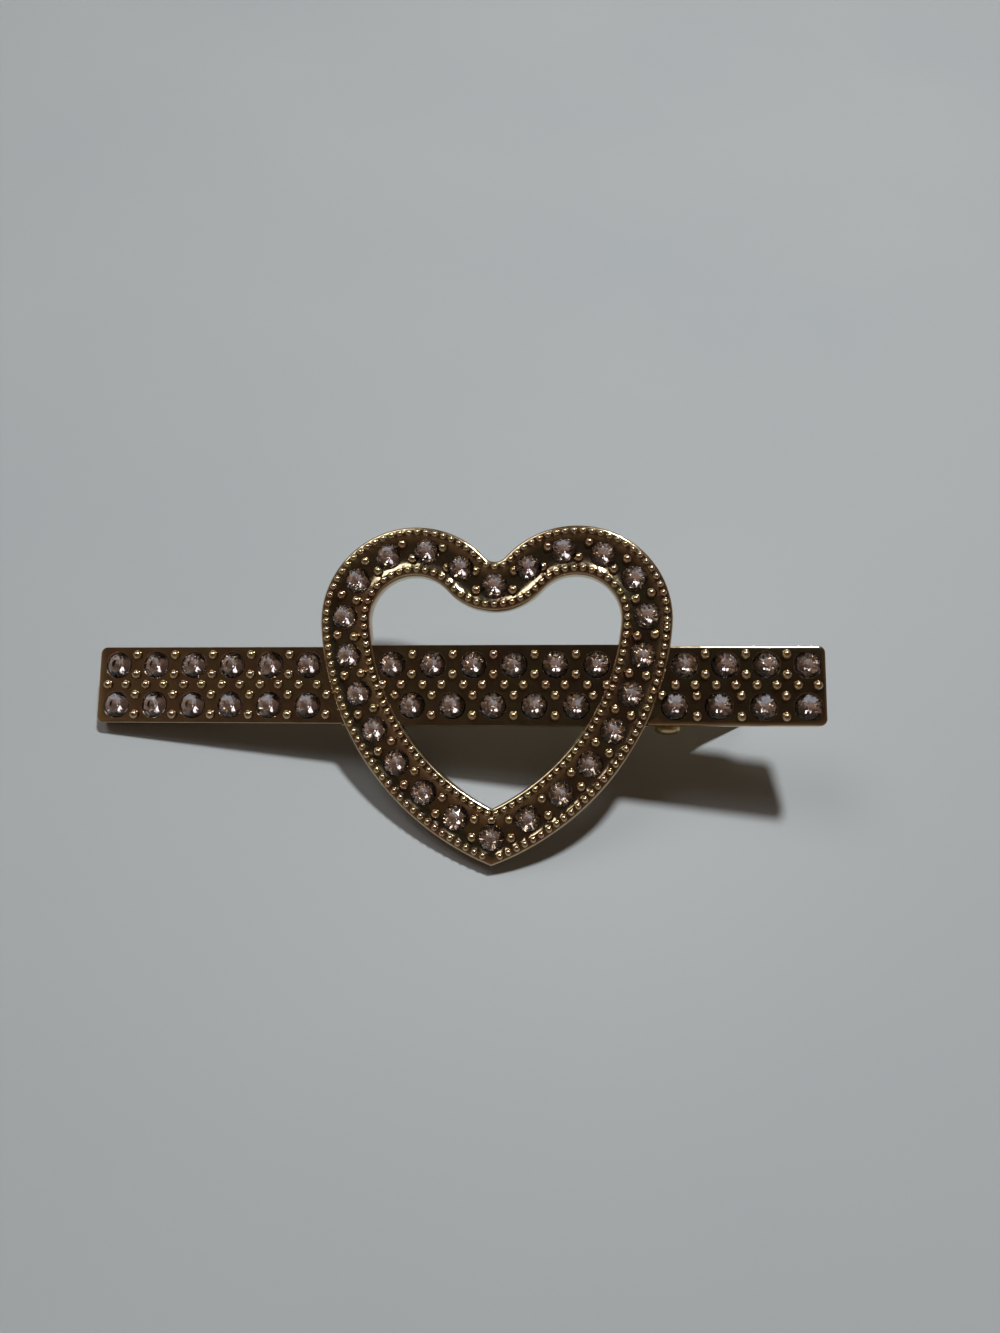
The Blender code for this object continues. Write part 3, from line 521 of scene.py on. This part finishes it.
crystal_glass, surface, tree, add, add_ramp = new_material("crystal_glass")
tint = add("TexNoise", Scale=700.0, Detail=1.0)
tints = add_ramp(tint.outputs["Fac"], (0.0, GLASS_TINTS[0]), (1.0, GLASS_TINTS[1]))
tree.links.new(tints, surface.inputs["Base Color"])
surface.inputs["Roughness"].default_value = 0.0
surface.inputs["IOR"].default_value = GLASS_IOR
surface.inputs["Transmission Weight"].default_value = 1.0
silvered_back, surface, tree, add, add_ramp = new_material("silvered_back")
tint = add("TexNoise", Scale=7.0, Detail=1.0)
tints = add_ramp(tint.outputs["Fac"], (0.0, FOIL_TINTS[0]), (1.0, FOIL_TINTS[1]))
tree.links.new(tints, surface.inputs["Base Color"])
surface.inputs["Metallic"].default_value = 1.0
surface.inputs["Roughness"].default_value = FOIL_ROUGHNESS


def brilliant(turn):
    """A round brilliant's solid about its own axis, its girdle a little below the metal's surface."""
    stone = bmesh.new()
    # each ring of corners from table to pavilion: its count, shift, share of the radius and height
    rings = [
        (8, 0.0, 0.38, 0.54),
        (8, 0.5, 0.71, 0.29),
        (16, 0.25, 0.96, 0.035),
        (32, 0.25, 1.0, -0.03),
        (32, 0.25, 1.0, -0.07),
        (8, 0.5, 0.3, -0.59),
    ]
    for sides, shift, share, height in rings:
        for side in range(sides):
            angle = turn + 2 * math.pi * (side + shift) / sides
            reach = STONE_RADIUS * share
            stone.verts.new((reach * math.cos(angle), reach * math.sin(angle), height))
    stone.verts.new((0.0, 0.0, APEX))
    bmesh.ops.convex_hull(stone, input=stone.verts)
    bmesh.ops.recalc_face_normals(stone, faces=stone.faces)
    for face in stone.faces:
        face.material_index = 1 if face.calc_center_median().z < FOIL_TOP else 0
    return stone


for number, (node, spot) in enumerate(stone_spots.items()):
    stone = brilliant(number * 0.41)
    tilt_x = Matrix.Rotation(SETTING_TILT * math.sin(number * 2.3), 4, "X")
    tilt_y = Matrix.Rotation(SETTING_TILT * math.cos(number * 1.7), 4, "Y")
    bmesh.ops.transform(stone, matrix=Matrix.Translation(spot) @ tilt_x @ tilt_y, verts=stone.verts)
    crystal = new_object(node.replace("crystal", "brilliant"), stone)
    crystal.data.transform(from_plate)
    crystal.data.materials.append(crystal_glass)
    crystal.data.materials.append(silvered_back)
    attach(crystal, "clip_front")
    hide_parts(node)

# The clip's two blades: stamped strips of spring steel, plated like the casting. The upper one is
# soldered behind the bar, and the lower one is bent to a bow, a web and a lever.
BLADE_DARK_GOLD = (0.5, 0.37, 0.19)
BLADE_PALE_GOLD = (0.66, 0.54, 0.31)
ROLLED_GRAIN = (60.0, 2600.0, 900.0)
EDGE_BREAK = 0.00008
EDGE_TURN = math.radians(40.0)
SAME_CORNER = 0.00001

blade_gold, surface, tree, add, add_ramp = new_material("blade_gold")
place = add("TexCoord")
stretch = add("Mapping", [("Vector", place.outputs["Object"])])
stretch.inputs["Scale"].default_value = ROLLED_GRAIN
grain = add("TexNoise", [("Vector", stretch.outputs["Vector"])], Scale=1.0, Detail=4.0)
golds = add_ramp(grain.outputs["Fac"], (0.0, BLADE_DARK_GOLD), (1.0, BLADE_PALE_GOLD))
tree.links.new(golds, surface.inputs["Base Color"])
surface.inputs["Metallic"].default_value = 1.0
polish = add("MapRange", [("Value", grain.outputs["Fac"])], To_Min=0.22, To_Max=0.36)
tree.links.new(polish.outputs["Result"], surface.inputs["Roughness"])
relief = add("Bump", [("Height", grain.outputs["Fac"])], Strength=0.2, Distance=0.00004)
tree.links.new(relief.outputs["Normal"], surface.inputs["Normal"])
for name in ("upper_blade", "lower_blade"):
    blade = frame["nodes"][name]
    blade.data.materials.clear()
    blade.data.materials.append(blade_gold)
    blade.modifiers.new("joined_corners", "WELD").merge_threshold = SAME_CORNER
    broken_edge = blade.modifiers.new("broken_edge", "BEVEL")
    broken_edge.width = EDGE_BREAK
    broken_edge.segments = 2
    broken_edge.limit_method = "ANGLE"
    broken_edge.angle_limit = EDGE_TURN

# The hinge pin: a plain rod of plated steel through both pairs of ears, upset at each end to a
# domed head.
PIN_RADIUS = 0.6
HEAD_RADIUS = 1.3
HEAD_SPOT = 3.8
HEAD_RIM = 0.3
HEAD_BEVEL = 0.1
DOME_HEIGHT = 0.6

dome_turns = [1.5 - 0.15 * step for step in range(11)]
rim_top = HEAD_SPOT + HEAD_RIM
half_pin = [(HEAD_RADIUS * math.cos(turn), rim_top + DOME_HEIGHT * math.sin(turn)) for turn in dome_turns]
half_pin += [(HEAD_RADIUS, HEAD_SPOT + HEAD_BEVEL), (HEAD_RADIUS - HEAD_BEVEL, HEAD_SPOT)]
half_pin += [(PIN_RADIUS, HEAD_SPOT)]
pin_shape = turned(half_pin + [(radius, -height) for radius, height in reversed(half_pin)])
across_the_bar = Matrix.Rotation(math.pi / 2, 3, "X")
bmesh.ops.rotate(pin_shape, verts=pin_shape.verts, cent=(0.0, 0.0, 0.0), matrix=across_the_bar)
bmesh.ops.translate(pin_shape, verts=pin_shape.verts, vec=PIN_SPOT)
pin = new_object("riveted_pin", pin_shape)
rest_on("clip_front", pin, blade_gold)
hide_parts("hinge_pin")

# The torsion spring: hard-drawn wire coiled round the pin, with a leg on each blade. On the real clip the
# legs move with their blades and the coil winds up as the lever is pressed; here the wire is one fixed
# piece that rides on no body.
WIRE_RADIUS = 0.3
COIL_RADIUS = 1.15
COIL_START = 1.7001
COIL_SWEEP = 21.8618
COIL_HALF_WIDTH = 1.8267
COIL_STEPS = 112
UPPER_LEG_END = (8.0, 2.2)
KNEE = (2.7014, -1.15)
KNEE_REACH = 0.8
LOWER_LEG_END = (7.6315, -5.9222)
CUT_END = 0.08
CUT_END_SHARE = 0.75
WIRE_SIDES = 14
WIRE_DARK_GREY = (0.42, 0.38, 0.3)
WIRE_PALE_GREY = (0.6, 0.55, 0.45)

spring_wire, surface, tree, add, add_ramp = new_material("spring_wire")
place = add("TexCoord")
drawn = add("TexNoise", [("Vector", place.outputs["Object"])], Scale=1500.0, Detail=3.0)
greys = add_ramp(drawn.outputs["Fac"], (0.0, WIRE_DARK_GREY), (1.0, WIRE_PALE_GREY))
tree.links.new(greys, surface.inputs["Base Color"])
surface.inputs["Metallic"].default_value = 1.0
surface.inputs["Roughness"].default_value = 0.28


def about_pin(x, z, y):
    """A spot in the plate frame from its place beside, above and along the hinge pin."""
    return Vector((PIN_SPOT[0] + x, y, PIN_SPOT[2] + z))


upper_end = about_pin(*UPPER_LEG_END, COIL_HALF_WIDTH)
coil = []
for step in range(COIL_STEPS + 1):
    turn = COIL_START + COIL_SWEEP * step / COIL_STEPS
    along_pin = COIL_HALF_WIDTH * (1.0 - 2.0 * step / COIL_STEPS)
    coil.append(about_pin(COIL_RADIUS * math.cos(turn), COIL_RADIUS * math.sin(turn), along_pin))
knee = about_pin(*KNEE, -COIL_HALF_WIDTH)
lower_end = about_pin(*LOWER_LEG_END, -COIL_HALF_WIDTH)
knee_from = knee + (coil[-1] - knee).normalized() * KNEE_REACH
knee_to = knee + (lower_end - knee).normalized() * KNEE_REACH
bend = []
for step in range(11):
    share = step / 10
    bend.append(knee_from.lerp(knee, share).lerp(knee.lerp(knee_to, share), share))
path = [upper_end, upper_end + (coil[0] - upper_end).normalized() * CUT_END] + coil + bend
path += [lower_end + (knee_to - lower_end).normalized() * CUT_END, lower_end]
wire = bmesh.new()
side = Vector((0.0, 1.0, 0.0))
loops = []
for number, spot in enumerate(path):
    run = (path[min(number + 1, len(path) - 1)] - path[max(number - 1, 0)]).normalized()
    side = (side - run * side.dot(run)).normalized()
    over = run.cross(side)
    radius = WIRE_RADIUS * (CUT_END_SHARE if number in (0, len(path) - 1) else 1.0)
    turns = [2 * math.pi * step / WIRE_SIDES for step in range(WIRE_SIDES)]
    loops.append([spot + radius * (math.cos(turn) * side + math.sin(turn) * over) for turn in turns])
bridge(wire, loops, False)
spring = new_object("wound_spring", wire)
rest_on(None, spring, spring_wire, 60.0)
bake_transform(spring)
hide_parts("torsion_spring")
